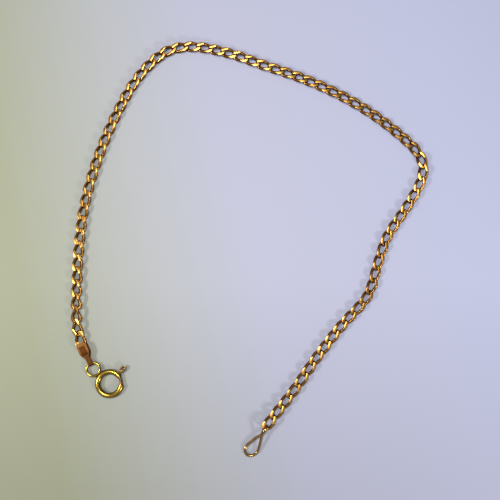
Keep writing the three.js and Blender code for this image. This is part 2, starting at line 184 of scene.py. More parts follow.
# %% Route
ROUTE = [
    (-41.5, -22.05, 0), (-42.5, -18.4, -20), (-42.7, -15.2, -30), (-42.8, -12.1, -22),
    (-42.8, -5.8, -9), (-42.6, 0.6, -5), (-41.7, 10.1, -4), (-39.7, 19.3, -2),
    (-36.8, 28.2, 0), (-33.1, 36.8, 0), (-30.1, 42.4, 2), (-26.2, 47.5, 4),
    (-21.1, 51.5, 6), (-15.0, 52.6, 6), (-5.6, 50.9, 5), (3.5, 47.7, 2),
    (12.9, 44.4, 0), (21.6, 40.5, 0), (30.0, 35.6, 0), (37.6, 29.7, 2),
    (42.1, 25.2, 4), (43.5, 22.4, 8), (43.6, 19.4, 10), (42.6, 16.4, 7),
    (39.3, 10.8, 2), (35.8, 5.8, 0), (34.2, 3.2, 0), (32.0, -2.7, 0),
    (30.1, -8.9, -3), (28.9, -11.6, -3), (26.9, -14.1, 0), (22.4, -18.8, 2),
    (16.4, -26.3, 3), (10.75, -34.2, 3), (4.6, -41.8, 4), (2.7, -44.2, 4),
]
ROUTE_SAMPLES = 4000
LENGTH_SAMPLES = 200
NEAR_THE_END = 0.9999


def spline_point(points, share, closed=False):
    """A point of the centripetal Catmull-Rom line through the points."""
    last = len(points) - (0 if closed else 1)
    at = share * last
    index = min(int(at), last - 1)
    weight = at - index
    if closed:
        p0, p1, p2, p3 = (points[(index + k) % last] for k in (-1, 0, 1, 2))
    else:
        p1, p2 = points[index], points[index + 1]
        p0 = points[index - 1] if index > 0 else 2 * p1 - p2
        p3 = points[index + 2] if index + 2 <= last else 2 * p2 - p1
    d0, d1, d2 = ((b - a).length ** 0.5 for a, b in ((p0, p1), (p1, p2), (p2, p3)))
    m1 = ((p1 - p0) / d0 - (p2 - p0) / (d0 + d1) + (p2 - p1) / d1) * d1
    m2 = ((p2 - p1) / d1 - (p3 - p1) / (d1 + d2) + (p3 - p2) / d2) * d1
    square, cube = weight ** 2, weight ** 3
    return (p1 * (2 * cube - 3 * square + 1) + m1 * (cube - 2 * square + weight)
            + p2 * (3 * square - 2 * cube) + m2 * (cube - square))


route_points = [Vector((x, y, 0)) for x, y, _ in ROUTE]
route_rolls = [roll for _, _, roll in ROUTE]
coarse = [spline_point(route_points, step / LENGTH_SAMPLES)
          for step in range(LENGTH_SAMPLES + 1)]
route_length = sum((b - a).length for a, b in zip(coarse, coarse[1:]))
route_end = (coarse[-1] - spline_point(route_points, NEAR_THE_END)).normalized()
print("route:", round(route_length, 1), "mm")

# %% [markdown]
# ## One curb link
# A curb link is an oval of round wire with a twist: its middle line rises and dips twice on
# the way round, so that the links nest flat. The finished chain is filed, which leaves a flat
# facet wherever the wire stood proud. `bisect_plane` files it, the openings are filled flat,
# and a small bevel is the soft edge that polishing leaves.

# %% Link
LINK_WIRE = 0.74
LINK_HALF_LENGTH = 1.942
LINK_HALF_WIDTH = 0.93
LINK_TWIST = 0.53
CHAIN_HEIGHT = 1.2
LINK_BITE = 0.02
LINK_SIDES = 16
LINK_STEPS = 44
FACET_EDGE = 0.035


def link_frame(share):
    turn = FULL_TURN * share
    cos, sin = math.cos(turn), math.sin(turn)
    centre = Vector((LINK_HALF_LENGTH * cos, LINK_HALF_WIDTH * sin,
                     -LINK_TWIST * math.sin(2 * turn)))
    along = Vector((-LINK_HALF_LENGTH * sin, LINK_HALF_WIDTH * cos,
                    -2 * LINK_TWIST * math.cos(2 * turn))).normalized()
    outward = Vector((LINK_HALF_WIDTH * cos, LINK_HALF_LENGTH * sin, 0)).normalized()
    outward = (outward - along * outward.dot(along)).normalized()
    return centre, outward, outward.cross(along)


def file_flat(bm, height, side):
    """Files a face flat at that height, on its upper (1) or under (-1) side."""
    geometry = bm.verts[:] + bm.edges[:] + bm.faces[:]
    bmesh.ops.bisect_plane(bm, geom=geometry, dist=1e-6, plane_co=(0, 0, side * height),
                           plane_no=(0, 0, side), clear_outer=True)
    cap_openings(bm, FACET_EDGE, 2)


def link_mesh():
    bm = bmesh.new()
    wire_ring(bm, LINK_WIRE / 2, LINK_SIDES, LINK_STEPS, link_frame)
    for side in (1, -1):
        file_flat(bm, CHAIN_HEIGHT / 2, side)
    bmesh.ops.recalc_face_normals(bm, faces=bm.faces)
    return mesh_of(bm, "link")


link = link_mesh()
print("one link:", len(link.polygons), "faces")

# %% [markdown]
# ## Laying the links
# Each link rests on the table on the lowest point of its rolled body. Near the tag the chain
# climbs onto the lower leaf, and at the other end it is held up by the wire loop. A finger
# never lays two links quite alike, so each one also turns by a degree or so of its own.

# %% Places of the links
LINKS_CLASP_SIDE = 37
LINKS_LOOP_SIDE = 36
SLACK_GAP = 0.06
FADE_LINKS = 4
LOOP_LIFT = 0.65
TAG_SHEET = 0.22
TAG_LINK_PLAY = 0.06
COARSE_SIDES = 5
LOOSE_ROLL = 3.2
LOOSE_YAW = 2.6
NOISE_STEP = 1.7
NOISE_ROW = 0.3

link_count = LINKS_CLASP_SIDE + LINKS_LOOP_SIDE
link_pitch = 2 * LINK_HALF_LENGTH - LINK_WIRE + LINK_BITE
coarse_turn = FULL_TURN / COARSE_SIDES
coarse_radius = LINK_WIRE / 2 * math.sqrt(coarse_turn / math.sin(coarse_turn))
slack_pitch = 2 * LINK_HALF_LENGTH - 2 * coarse_radius - SLACK_GAP
link_corners = [vert.co.copy() for vert in link.vertices if vert.co.z < 0]


def roll_at(share):
    at = share * (len(route_rolls) - 1)
    index = min(int(at), len(route_rolls) - 2)
    return route_rolls[index] + (route_rolls[index + 1] - route_rolls[index]) * (at - index)


def lowest_after(matrix):
    row = matrix[2]
    return min(row[0] * c.x + row[1] * c.y + row[2] * c.z for c in link_corners) + row[3]


def walk_route():
    places = [(spline_point(route_points, 0), roll_at(0))]
    for step in range(1, 2 * ROUTE_SAMPLES + 1):
        share = step / ROUTE_SAMPLES
        over = max(0, share - 1)
        point = spline_point(route_points, min(share, 1)) + route_end * over * route_length
        pitch = slack_pitch if len(places) == LINKS_CLASP_SIDE else link_pitch
        if (point - places[-1][0]).length >= pitch:
            places.append((point, roll_at(min(share, 1))))
        if len(places) == link_count:
            return places
    raise RuntimeError("the route is too short for its links")


def roll_matrix(degrees):
    return Matrix.Rotation(math.radians(degrees), 4, "X")


def link_matrices():
    places = walk_route()
    for index, (point, roll) in enumerate(places):
        from_tag = max(0, 1 - index / FADE_LINKS)
        from_loop = max(0, 1 - (link_count - 1 - index) / FADE_LINKS)
        point.z = ((TAG_SHEET + TAG_LINK_PLAY) * from_tag ** 2 + LOOP_LIFT * from_loop ** 2
                   - lowest_after(roll_matrix(roll)))
    matrices = []
    for index, (point, roll) in enumerate(places):
        before = places[max(index - 1, 0)][0]
        after = places[min(index + 1, link_count - 1)][0]
        ahead = after - before
        if index == 0:
            ahead.z = 0
        ahead.normalize()
        left = UP.cross(ahead).normalized()
        top = ahead.cross(left)
        turned = Matrix((ahead, left, top)).transposed().to_4x4() @ roll_matrix(roll)
        loose = 0 if index in (0, link_count - 1) else 1
        seed = Vector((index * NOISE_STEP, NOISE_ROW, 0))
        yaw = math.radians(loose * LOOSE_YAW * noise.noise(seed + UP))
        own = (roll_matrix(loose * LOOSE_ROLL * noise.noise(seed))
               @ Matrix.Rotation(yaw, 4, "Z"))
        plain = Matrix.Translation(point) @ turned
        matrix = plain @ own
        matrix.translation.z -= min(0, lowest_after(matrix))
        matrices.append((matrix, plain))
    return matrices


matrices = link_matrices()
print("links laid:", len(matrices))

# %% [markdown]
# ## Where the end pieces go
# The tag's post stands inside the first link, the eye of the bolt ring lies in the tag's fold
# and the ring lies past its eye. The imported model's joint turns about the middle of the ring,
# so that point ties the route to the frame and gives the shift for everything else.

# %% Places of the end pieces
TAG_LENGTH = 6.15
TAG_HEADING = -64
POST_DIAMETER = 0.44
POST_INSET = 0.38
POST_PLAY = 0.06
RING_DIAMETER = 7.0
EYE_DIAMETER = 3.8
EYE_WIRE = 0.57
EYE_PLAY = 0.145
EYE_HEADING = -40
SOLDER_DEPTH = 0.12
LOOP_WIRE = 0.6
LOOP_PLAY = 0.32
LOOP_HEADING = -123

inner_end = LINK_HALF_LENGTH - coarse_radius
post_reach = inner_end - POST_PLAY - POST_DIAMETER / 2
tag_line = heading_of(TAG_HEADING)
wide_end = matrices[0][1] @ Vector((-post_reach, 0, 0)) - tag_line * POST_INSET
wide_end.z = 0
fold_outer = EYE_WIRE / 2 + EYE_PLAY + TAG_SHEET
eye_line = (EYE_DIAMETER - EYE_WIRE) / 2
eye_to_ring = RING_DIAMETER / 2 + EYE_DIAMETER / 2 - SOLDER_DEPTH
eye_middle = wide_end + tag_line * (TAG_LENGTH - fold_outer + eye_line)
ring_middle = eye_middle + heading_of(EYE_HEADING) * eye_to_ring
hinge = Vector(frame["joints"][0]["pos_m"]) / MM
ring_middle.z = hinge.z
shift = hinge - ring_middle
loop_top = matrices[-1][1] @ Vector((inner_end - LOOP_PLAY - LOOP_WIRE / 2, 0, 0))
print("shift:", [round(value, 3) for value in shift])


def placed(point, degrees=0):
    return Matrix.Translation(shift + point) @ Matrix.Rotation(math.radians(degrees), 4, "Z")


# %% [markdown]
# ## Gold
# Worn gold is never one flat colour: it is a mirror with fine scratches, a duller film of skin
# oil, and warmer, browner tarnish in random patches. The steep sides are painted darker in that
# colour too: painted shade, for the shadow and the dark reflections at the sides. All this
# works alike on every piece, so it is one node group, with its own amounts in each material.

# %% Worn metal node group
def worn_metal_group():
    group = bpy.data.node_groups.new("worn_metal", "ShaderNodeTree")
    # One amount paints shade on the steep sides, and the darker colour serves both real tarnish
    # and that painted shade.
    for name, kind, value in (("Polished", "NodeSocketColor", (1, 0.8, 0.4, 1)),
                              ("Tarnish_and_shade_colour", "NodeSocketColor", (0.5, 0.25, 0.1, 1)),
                              ("Tarnish", "NodeSocketFloat", 0.3),
                              ("Painted_side_shade", "NodeSocketFloat", 0.5),
                              ("Smooth", "NodeSocketFloat", 0.1),
                              ("Dull", "NodeSocketFloat", 0.3),
                              ("Scratch", "NodeSocketFloat", 0.3)):
        socket = group.interface.new_socket(name, in_out="INPUT", socket_type=kind)
        socket.default_value = value
    for name, kind in (("Color", "NodeSocketColor"), ("Roughness", "NodeSocketFloat"),
                       ("Height", "NodeSocketFloat")):
        group.interface.new_socket(name, in_out="OUTPUT", socket_type=kind)
    nodes, link_sockets = group.nodes, group.links.new
    given = nodes.new("NodeGroupInput")
    out = nodes.new("NodeGroupOutput")
    coords = nodes.new("ShaderNodeTexCoord")

    film = nodes.new("ShaderNodeTexNoise")
    film.inputs["Scale"].default_value = 420
    film.inputs["Detail"].default_value = 4
    film.inputs["Roughness"].default_value = 0.6
    link_sockets(coords.outputs["Object"], film.inputs["Vector"])

    patches = nodes.new("ShaderNodeMapRange")
    patches.inputs["From Min"].default_value = 0.4
    patches.inputs["From Max"].default_value = 0.7
    link_sockets(film.outputs["Fac"], patches.inputs["Value"])

    stretch = nodes.new("ShaderNodeMapping")
    stretch.inputs["Scale"].default_value = (9000, 1500, 3000)
    stretch.inputs["Rotation"].default_value = (0.3, 0.2, 0.7)
    link_sockets(coords.outputs["Object"], stretch.inputs["Vector"])
    scratches = nodes.new("ShaderNodeTexNoise")
    scratches.inputs["Scale"].default_value = 1
    scratches.inputs["Detail"].default_value = 3
    link_sockets(stretch.outputs["Vector"], scratches.inputs["Vector"])

    # Painted shade: the steeper the surface, the more of the darker colour, for the shadow and
    # dark reflections at the sides.
    upright = nodes.new("ShaderNodeSeparateXYZ")
    link_sockets(coords.outputs["Normal"], upright.inputs["Vector"])
    steep = nodes.new("ShaderNodeMapRange")
    steep.interpolation_type = "SMOOTHSTEP"
    steep.inputs["From Min"].default_value = 0.95
    steep.inputs["From Max"].default_value = 0.6
    link_sockets(upright.outputs["Z"], steep.inputs["Value"])
    sides = nodes.new("ShaderNodeMath")
    sides.operation = "MULTIPLY"
    link_sockets(steep.outputs["Result"], sides.inputs[0])
    link_sockets(given.outputs["Painted_side_shade"], sides.inputs[1])

    amount = nodes.new("ShaderNodeMath")
    amount.operation = "MULTIPLY_ADD"
    amount.use_clamp = True
    link_sockets(patches.outputs["Result"], amount.inputs[0])
    link_sockets(given.outputs["Tarnish"], amount.inputs[1])
    link_sockets(sides.outputs[0], amount.inputs[2])
    colour = nodes.new("ShaderNodeMix")
    colour.data_type = "RGBA"
    link_sockets(amount.outputs[0], colour.inputs["Factor"])
    link_sockets(given.outputs["Polished"], colour.inputs["A"])
    link_sockets(given.outputs["Tarnish_and_shade_colour"], colour.inputs["B"])
    link_sockets(colour.outputs["Result"], out.inputs["Color"])

    rough = nodes.new("ShaderNodeMapRange")
    link_sockets(film.outputs["Fac"], rough.inputs["Value"])
    rough.inputs["From Min"].default_value = 0.3
    rough.inputs["From Max"].default_value = 0.75
    link_sockets(given.outputs["Smooth"], rough.inputs["To Min"])
    link_sockets(given.outputs["Dull"], rough.inputs["To Max"])
    link_sockets(rough.outputs["Result"], out.inputs["Roughness"])

    height = nodes.new("ShaderNodeMath")
    height.operation = "MULTIPLY"
    link_sockets(scratches.outputs["Fac"], height.inputs[0])
    link_sockets(given.outputs["Scratch"], height.inputs[1])
    link_sockets(height.outputs[0], out.inputs["Height"])
    return group


worn_metal = worn_metal_group()


def gold(name, polished, tarnish_and_shade, tarnish, sides, smooth, dull, scratch):
    material = bpy.data.materials.new(name)
    material.use_nodes = True
    nodes, link_sockets = material.node_tree.nodes, material.node_tree.links.new
    shader = nodes["Principled BSDF"]
    shader.inputs["Metallic"].default_value = 1
    wear = nodes.new("ShaderNodeGroup")
    wear.node_tree = worn_metal
    wear.inputs["Polished"].default_value = (*polished, 1)
    wear.inputs["Tarnish_and_shade_colour"].default_value = (*tarnish_and_shade, 1)
    wear.inputs["Tarnish"].default_value = tarnish
    wear.inputs["Painted_side_shade"].default_value = sides
    wear.inputs["Smooth"].default_value = smooth
    wear.inputs["Dull"].default_value = dull
    wear.inputs["Scratch"].default_value = scratch
    bump = nodes.new("ShaderNodeBump")
    bump.inputs["Strength"].default_value = 0.15
    bump.inputs["Distance"].default_value = 0.00002
    link_sockets(wear.outputs["Color"], shader.inputs["Base Color"])
    link_sockets(wear.outputs["Roughness"], shader.inputs["Roughness"])
    link_sockets(wear.outputs["Height"], bump.inputs["Height"])
    link_sockets(bump.outputs["Normal"], shader.inputs["Normal"])
    return material


def darken_sunk_part(material):
    """Darkens the colour of the sunk part of a stamped sheet: the attribute sunk marks it."""
    nodes, link_sockets = material.node_tree.nodes, material.node_tree.links.new
    shader = nodes["Principled BSDF"]
    mask = nodes.new("ShaderNodeAttribute")
    mask.attribute_name = "sunk"
    sunk_darkening = nodes.new("ShaderNodeMix")
    sunk_darkening.data_type = "RGBA"
    sunk_darkening.inputs["B"].default_value = (0.13, 0.045, 0.012, 1)
    link_sockets(mask.outputs["Fac"], sunk_darkening.inputs["Factor"])
    link_sockets(shader.inputs["Base Color"].links[0].from_socket, sunk_darkening.inputs["A"])
    link_sockets(sunk_darkening.outputs["Result"], shader.inputs["Base Color"])


# In each gold, the amount after the tarnish paints shade on the steep sides.
chain_gold = gold("chain_gold", (0.74, 0.38, 0.085), (0.16, 0.05, 0.01), 0.15, 0.97,
                  0.2, 0.35, 0.5)
# The tag's gold is a darker copy of the chain's gold: the darkening is a painted dark reflection
# on its flat top.
tag_gold = gold("tag_gold", (0.36, 0.15, 0.04), (0.10, 0.035, 0.01), 0.4, 0.3, 0.3, 0.5, 0.8)
darken_sunk_part(tag_gold)
ring_gold = gold("ring_gold", (0.80, 0.53, 0.08), (0.12, 0.07, 0.01), 0.15, 0.9,
                 0.15, 0.3, 0.4)
bolt_gold = gold("bolt_gold", (0.55, 0.33, 0.13), (0.12, 0.06, 0.02), 0.2, 0.8, 0.12, 0.3, 0.5)
loop_gold = gold("loop_gold", (0.80, 0.50, 0.14), (0.16, 0.06, 0.012), 0.15, 0.9,
                 0.12, 0.26, 0.4)

# %% [markdown]
# ## The two halves of the chain
# Links that hang in each other must cross without cutting each other, so the odd links are one
# mesh and the even links another, and a Boolean joins the two where neighbours touch. Each half
# of the chain is then one body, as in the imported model.

# %% Chain
CHAIN_SHARP_DEGREES = 45


def links_together(chosen, name):
    bm = bmesh.new()
    for matrix, _ in chosen:
        first = len(bm.verts)
        bm.from_mesh(link)
        bm.verts.ensure_lookup_table()
        bmesh.ops.transform(bm, matrix=matrix, verts=bm.verts[first:])
    return mesh_of(bm, name)


def chain_half(name, chosen):
    odd = links_together(chosen[::2], "odd_links")
    even = links_together(chosen[1::2], "even_links")
    piece = finish_piece(name, joined_solid(odd, even), placed(Vector()), CHAIN_SHARP_DEGREES)
    paint(piece, chain_gold)
    return piece


def wear_for(piece, node, body):
    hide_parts(node)
    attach(piece, body)


clasp_side = chain_half("curb_chain_clasp_side", matrices[:LINKS_CLASP_SIDE])
loop_side = chain_half("curb_chain_loop_side", matrices[LINKS_CLASP_SIDE:])
wear_for(clasp_side, "clasp_side_chain", "anklet")
wear_for(loop_side, "loop_side_chain", "anklet")

# %% [markdown]
# ## The end tag
# The tag is stamped from sheet as a long blank, wide at both ends and narrow in the middle,
# and folded in half round the eye of the bolt ring. It is made the same way here: a flat grid
# gets the blank's outline, a plain panel is sunk into what will be the upper leaf, the grid is
# thickened, and then it is bent along the line that the folded sheet follows.

# %% Tag
TAG_WIDTH = 2.4
TAG_NECK_WIDTH = 0.95
TAG_NECK_START = 4.2
TAG_TAPER_START = 2.6
TAG_ROUNDING = 0.9
PANEL_DEPTH = 0.05
PANEL_LENGTH = 2.3
PANEL_WIDTH = 1.5
PANEL_START = 0.9
PANEL_WALL = 0.04
PANEL_SHARE = 0.72
TAG_EDGE = 0.04
TAG_CELLS_ACROSS = 8
TAG_ROUNDING_ROWS = 6
TAG_ROWS = (1.6, 2.2, 3.2, 3.8, 4.1, 4.4, 5.4)
FOLD_STEPS = 16
FOLD_ROWS = 14
POST_SIDES = 20

tag_gap = CHAIN_HEIGHT + 2 * TAG_LINK_PLAY
tag_height = tag_gap + 2 * TAG_SHEET
fold_line = fold_outer - TAG_SHEET / 2
fold_at = TAG_LENGTH - fold_outer


def tag_path():
    """The middle line of the folded sheet, from the lower leaf's end to the upper leaf's."""
    points = [Vector((x, 0, TAG_SHEET / 2)) for x in (0, fold_at)]
    for step in range(1, FOLD_STEPS):
        turn = math.pi * (step / FOLD_STEPS - 0.5)
        points.append(Vector((fold_at + fold_line * math.cos(turn), 0,
                              fold_outer + fold_line * math.sin(turn))))
    points.append(Vector((fold_at, 0, fold_outer + fold_line)))
    points.append(Vector((TAG_TAPER_START, 0, tag_height - TAG_SHEET / 2)))
    points.append(Vector((0, 0, tag_height - TAG_SHEET / 2)))
    return points


tag_line_points = tag_path()
tag_spans = [(b - a).length for a, b in zip(tag_line_points, tag_line_points[1:])]
blank_length = sum(tag_spans)


def on_tag_path(along):
    """Where a point of the flat blank comes to lie, and which way the sheet's top looks."""
    for index, span in enumerate(tag_spans):
        if along <= span or index == len(tag_spans) - 1:
            break
        along -= span
    a, b = tag_line_points[index], tag_line_points[index + 1]
    ahead = (b - a).normalized()
    return a + ahead * along, Vector((0, 1, 0)).cross(ahead)


def tag_half_width(x):
    """Half the tag's width at a distance from its wide end."""
    if x < TAG_ROUNDING:
        return TAG_WIDTH / 2 - TAG_ROUNDING + math.sqrt(
            max(TAG_ROUNDING ** 2 - (TAG_ROUNDING - x) ** 2, 0))
    if x < TAG_TAPER_START:
        return TAG_WIDTH / 2
    share = min((x - TAG_TAPER_START) / (TAG_NECK_START - TAG_TAPER_START), 1)
    share = share * share * (3 - 2 * share)
    return TAG_WIDTH / 2 + (TAG_NECK_WIDTH - TAG_WIDTH) / 2 * share


def tag_rows():
    """Stations along one leaf of the blank: close together where the outline curves."""
    corner = [TAG_ROUNDING * (1 - math.cos(math.pi / 2 * k / TAG_ROUNDING_ROWS))
              for k in range(TAG_ROUNDING_ROWS)]
    panel = [PANEL_START, PANEL_START + PANEL_LENGTH]
    outline = [TAG_ROUNDING, TAG_TAPER_START, TAG_NECK_START]
    return sorted(corner + panel + outline + list(TAG_ROWS))


def folded_tag():
    leaf = tag_rows()
    fold_span = blank_length - 2 * fold_at
    bend = [fold_at + fold_span * k / FOLD_ROWS for k in range(FOLD_ROWS + 1)]
    rows = leaf + bend + [blank_length - x for x in reversed(leaf)]
    edge_column = TAG_CELLS_ACROSS / 2
    bm = bmesh.new()
    grid = bmesh.ops.create_grid(bm, x_segments=len(rows) - 1, y_segments=TAG_CELLS_ACROSS,
                                 size=0.5)
    for vert in grid["verts"]:
        row = rows[round((vert.co.x + 0.5) * (len(rows) - 1))]
        column = round((vert.co.y + 0.5) * TAG_CELLS_ACROSS) - edge_column
        half = tag_half_width(min(row, blank_length - row))
        panel_half = min(PANEL_WIDTH / 2, PANEL_SHARE * half)
        y = math.copysign(half, column)
        if abs(column) <= edge_column - 1:
            y = (column / (edge_column - 1)) * panel_half
        vert.co = Vector((row, y, 0))
    thicken(bm, -TAG_SHEET)
    return bm


def sink_panel(bm):
    """Sinks the plain panel into what will be the top of the upper leaf."""
    sunk = bm.faces.layers.float.new("sunk")
    middle = blank_length - PANEL_START - PANEL_LENGTH / 2
    panel = [face for face in bm.faces if face.normal.z < -0.9
             and abs(face.calc_center_median().x - middle) < PANEL_LENGTH / 2
             and abs(face.calc_center_median().y) < PANEL_WIDTH / 2]
    bmesh.ops.inset_region(bm, faces=panel, thickness=PANEL_WALL, depth=-PANEL_DEPTH,
                           use_even_offset=True)
    for face in panel:
        face[sunk] = 1


def bend_tag():
    bm = folded_tag()
    sink_panel(bm)
    round_edges(bm, sharp_edges(bm), TAG_EDGE, 2)
    for vert in bm.verts:
        middle, top = on_tag_path(vert.co.x)
        vert.co = middle + Vector((0, vert.co.y, 0)) - top * vert.co.z
    bmesh.ops.recalc_face_normals(bm, faces=bm.faces)
    return bm


tag_bm = bend_tag()
bmesh.ops.create_cone(
    tag_bm, cap_ends=True, segments=POST_SIDES, radius1=POST_DIAMETER / 2,
    radius2=POST_DIAMETER / 2, depth=tag_height - TAG_SHEET,
    matrix=Matrix.Translation((POST_INSET, 0, tag_height / 2)))
end_tag = finish_piece("folded_end_tag", mesh_of(tag_bm, "tag"), placed(wide_end, TAG_HEADING))
paint(end_tag, tag_gold)
wear_for(end_tag, "end_tag", "anklet")

# %% [markdown]
# ## The case of the bolt ring
# The case is drawn tube, bent round and left open. Its outer skin is a circle swept through
# the open part of a turn. The faces where the trigger slides are deleted, and `solidify` gives
# the skin its wall, which also closes the ends and the sides of the slot.

# %% Bolt ring case
CASE_TUBE = 1.3
BOLT_WIRE = 0.75
BOLT_PLAY = 0.1
GAP_START_ANGLE = -6
GAP_END_ANGLE = 34
BOLT_SEAT_ANGLE = 6
BOLT_TAIL_ANGLE = 76
TRIGGER_ANGLE = 48
SLOT_FROM = 40
SLOT_TO = 102
CASE_SIDES = 24
CASE_STEP_ANGLE = 2
CASE_EDGE = 0.04
SLOT_SPREAD = 0.5
EYE_STEPS = 64

tube_line = RING_DIAMETER / 2 - CASE_TUBE / 2


def swept_arc(bm, radius, sides, from_angle, to_angle, step_angle):
    """A tube's skin along an arc of the ring, both ends open."""
    start = (Matrix.Rotation(math.radians(from_angle), 4, "Z")
             @ Matrix.Translation((tube_line, 0, 0)) @ Matrix.Rotation(math.pi / 2, 4, "X"))
    circle = bmesh.ops.create_circle(bm, segments=sides, radius=radius, matrix=start)
    steps = round((to_angle - from_angle) / step_angle)
    bmesh.ops.spin(bm, geom=circle["verts"] + edges_of(circle["verts"]), cent=(0, 0, 0),
                   axis=UP, angle=math.radians(to_angle - from_angle), steps=steps)


def case_tube_mesh():
    bm = bmesh.new()
    swept_arc(bm, CASE_TUBE / 2, CASE_SIDES, GAP_END_ANGLE, 360 + GAP_START_ANGLE,
              CASE_STEP_ANGLE)
    slot = []
    for face in bm.faces:
        middle = face.calc_center_median()
        turn = math.degrees(math.atan2(middle.y, middle.x)) % 360
        outside = math.hypot(middle.x, middle.y) - tube_line
        on_line = outside > 0 and abs(middle.z) < SLOT_SPREAD * outside
        if SLOT_FROM < turn < SLOT_TO and on_line:
            slot.append(face)
    bmesh.ops.delete(bm, geom=slot, context="FACES")
    bmesh.ops.recalc_face_normals(bm, faces=bm.faces)
    tube_up = max(bm.faces, key=lambda face: face.calc_center_median().z)
    if tube_up.normal.z < 0:
        bmesh.ops.reverse_faces(bm, faces=bm.faces)
    wall = CASE_TUBE / 2 - BOLT_WIRE / 2 - BOLT_PLAY
    bmesh.ops.solidify(bm, geom=bm.faces[:], thickness=wall)
    round_edges(bm, sharp_edges(bm), CASE_EDGE, 2)
    bmesh.ops.recalc_face_normals(bm, faces=bm.faces)
    return mesh_of(bm, "case_tube")


def eye_mesh():
    bm = bmesh.new()
    middle = -heading_of(EYE_HEADING) * eye_to_ring

    def eye_frame(share):
        outward = heading_of(360 * share)
        return middle + outward * eye_line, outward, UP

    wire_ring(bm, EYE_WIRE / 2, WIRE_SIDES, EYE_STEPS, eye_frame)
    return mesh_of(bm, "eye")


case_mesh = joined_solid(case_tube_mesh(), eye_mesh())
case = finish_piece("bolt_ring_case_and_eye", case_mesh, placed(ring_middle))
paint(case, ring_gold)
wear_for(case, "bolt_ring_case", "anklet")

# %% [markdown]
# ## The bolt and its trigger
# The bolt is an arc of wire that slides in the case, and a small tab on it, the trigger, is
# what a fingernail pulls. The tab is two loops, each a circle drawn out to an oval, bridged
# into a flat ring and thickened: the inner loop is its slit.

# %% Bolt
TRIGGER_WIDTH = 1.25
TRIGGER_THICKNESS = 0.5
TRIGGER_REACH = 2.2
TRIGGER_STEM = 0.7
TRIGGER_SLIT_WIDTH = 0.3
TRIGGER_SLIT_LENGTH = 0.95
TRIGGER_CLEARANCE = 0.1
TRIGGER_EDGE = 0.07
STEM_OVERLAP = 0.3
STEM_SHARE = 0.9
BOLT_SIDES = 16
BOLT_STEP_ANGLE = 4
BOLT_END_ROUNDING = 0.12


def drawn_out_loop(bm, radius, length, front, segments=32):
    """A circle drawn out to an oval that ends at front. Gives back its edges."""
    place = Matrix.Translation((front - radius, 0, 0))
    circle = bmesh.ops.create_circle(bm, segments=segments, radius=radius, matrix=place)
    for vert in circle["verts"]:
        if vert.co.x < front - radius - 1e-6:
            vert.co.x -= length - 2 * radius
    return edges_of(circle["verts"])


def bolt_mesh():
    bm = bmesh.new()
    swept_arc(bm, BOLT_WIRE / 2, BOLT_SIDES, GAP_START_ANGLE - BOLT_SEAT_ANGLE,
              GAP_END_ANGLE + BOLT_TAIL_ANGLE, BOLT_STEP_ANGLE)
    cap_openings(bm, BOLT_END_ROUNDING, 4)
    bmesh.ops.recalc_face_normals(bm, faces=bm.faces)
    return mesh_of(bm, "bolt")


def trigger_mesh():
    ring_radius = RING_DIAMETER / 2
    tip = ring_radius + TRIGGER_REACH
    shoulder = ring_radius + TRIGGER_CLEARANCE
    half = TRIGGER_WIDTH / 2
    bm = bmesh.new()
    outer = drawn_out_loop(bm, half, tip - shoulder, tip)
    slit_front = tip - half + TRIGGER_SLIT_WIDTH / 2
    slit = drawn_out_loop(bm, TRIGGER_SLIT_WIDTH / 2, TRIGGER_SLIT_LENGTH, slit_front)
    bmesh.ops.bridge_loops(bm, edges=outer + slit)
    thicken(bm, TRIGGER_THICKNESS)
    round_edges(bm, sharp_edges(bm), TRIGGER_EDGE, 3)
    bmesh.ops.rotate(bm, cent=(0, 0, 0), verts=bm.verts,
                     matrix=Matrix.Rotation(math.radians(TRIGGER_ANGLE), 3, "Z"))
    return mesh_of(bm, "trigger")


def stem_mesh():
    bm = bmesh.new()
    reach = RING_DIAMETER / 2 + TRIGGER_CLEARANCE + STEM_OVERLAP - tube_line
    size = Matrix.Diagonal((reach, TRIGGER_STEM, TRIGGER_THICKNESS * STEM_SHARE, 1))
    place = (Matrix.Rotation(math.radians(TRIGGER_ANGLE), 4, "Z")
             @ Matrix.Translation((tube_line + reach / 2, 0, 0)) @ size)
    bmesh.ops.create_cube(bm, size=1, matrix=place)
    return mesh_of(bm, "stem")


bolt_solid = joined_solid(joined_solid(bolt_mesh(), stem_mesh()), trigger_mesh())
bolt = finish_piece("sliding_bolt_and_trigger", bolt_solid, placed(ring_middle))
paint(bolt, bolt_gold)
wear_for(bolt, "ring_bolt", "bolt")

# %% [markdown]
# ## The end loop
# The loop is one closed wire, twisted once into a figure of eight: the small half hangs in the
# last link, and the large half is what the bolt ring hooks into. Its middle line is a smooth
# closed curve through a few points, and the wire ring follows it.

# %% End loop
LOOP_LENGTH = 8.5
LOOP_HALF_WIDTH = 1.5
LOOP_ROWS = [
    (0, 0, 1), (0.035, 0.03, 1.53), (0.112, -0.06, 1.71), (0.206, -0.09, 1.53),
    (0.299, 0.12, 1.25), (0.429, 0.45, 0.97), (0.588, 0.75, 0.67), (0.765, 1, 0.38),
    (0.929, 0.7, 0.28), (1, 0, 0.28), (0.959, -0.63, 0.28), (0.847, -0.97, 0.3),
    (0.694, -0.8, 0.35), (0.494, -0.45, 0.45), (0.299, 0.09, 0.57), (0.206, 0.25, 0.4),
    (0.112, 0.15, 0.31), (0.035, -0.03, 0.52),
]
LOOP_STEPS = 120
LOOP_SAMPLES = 2400


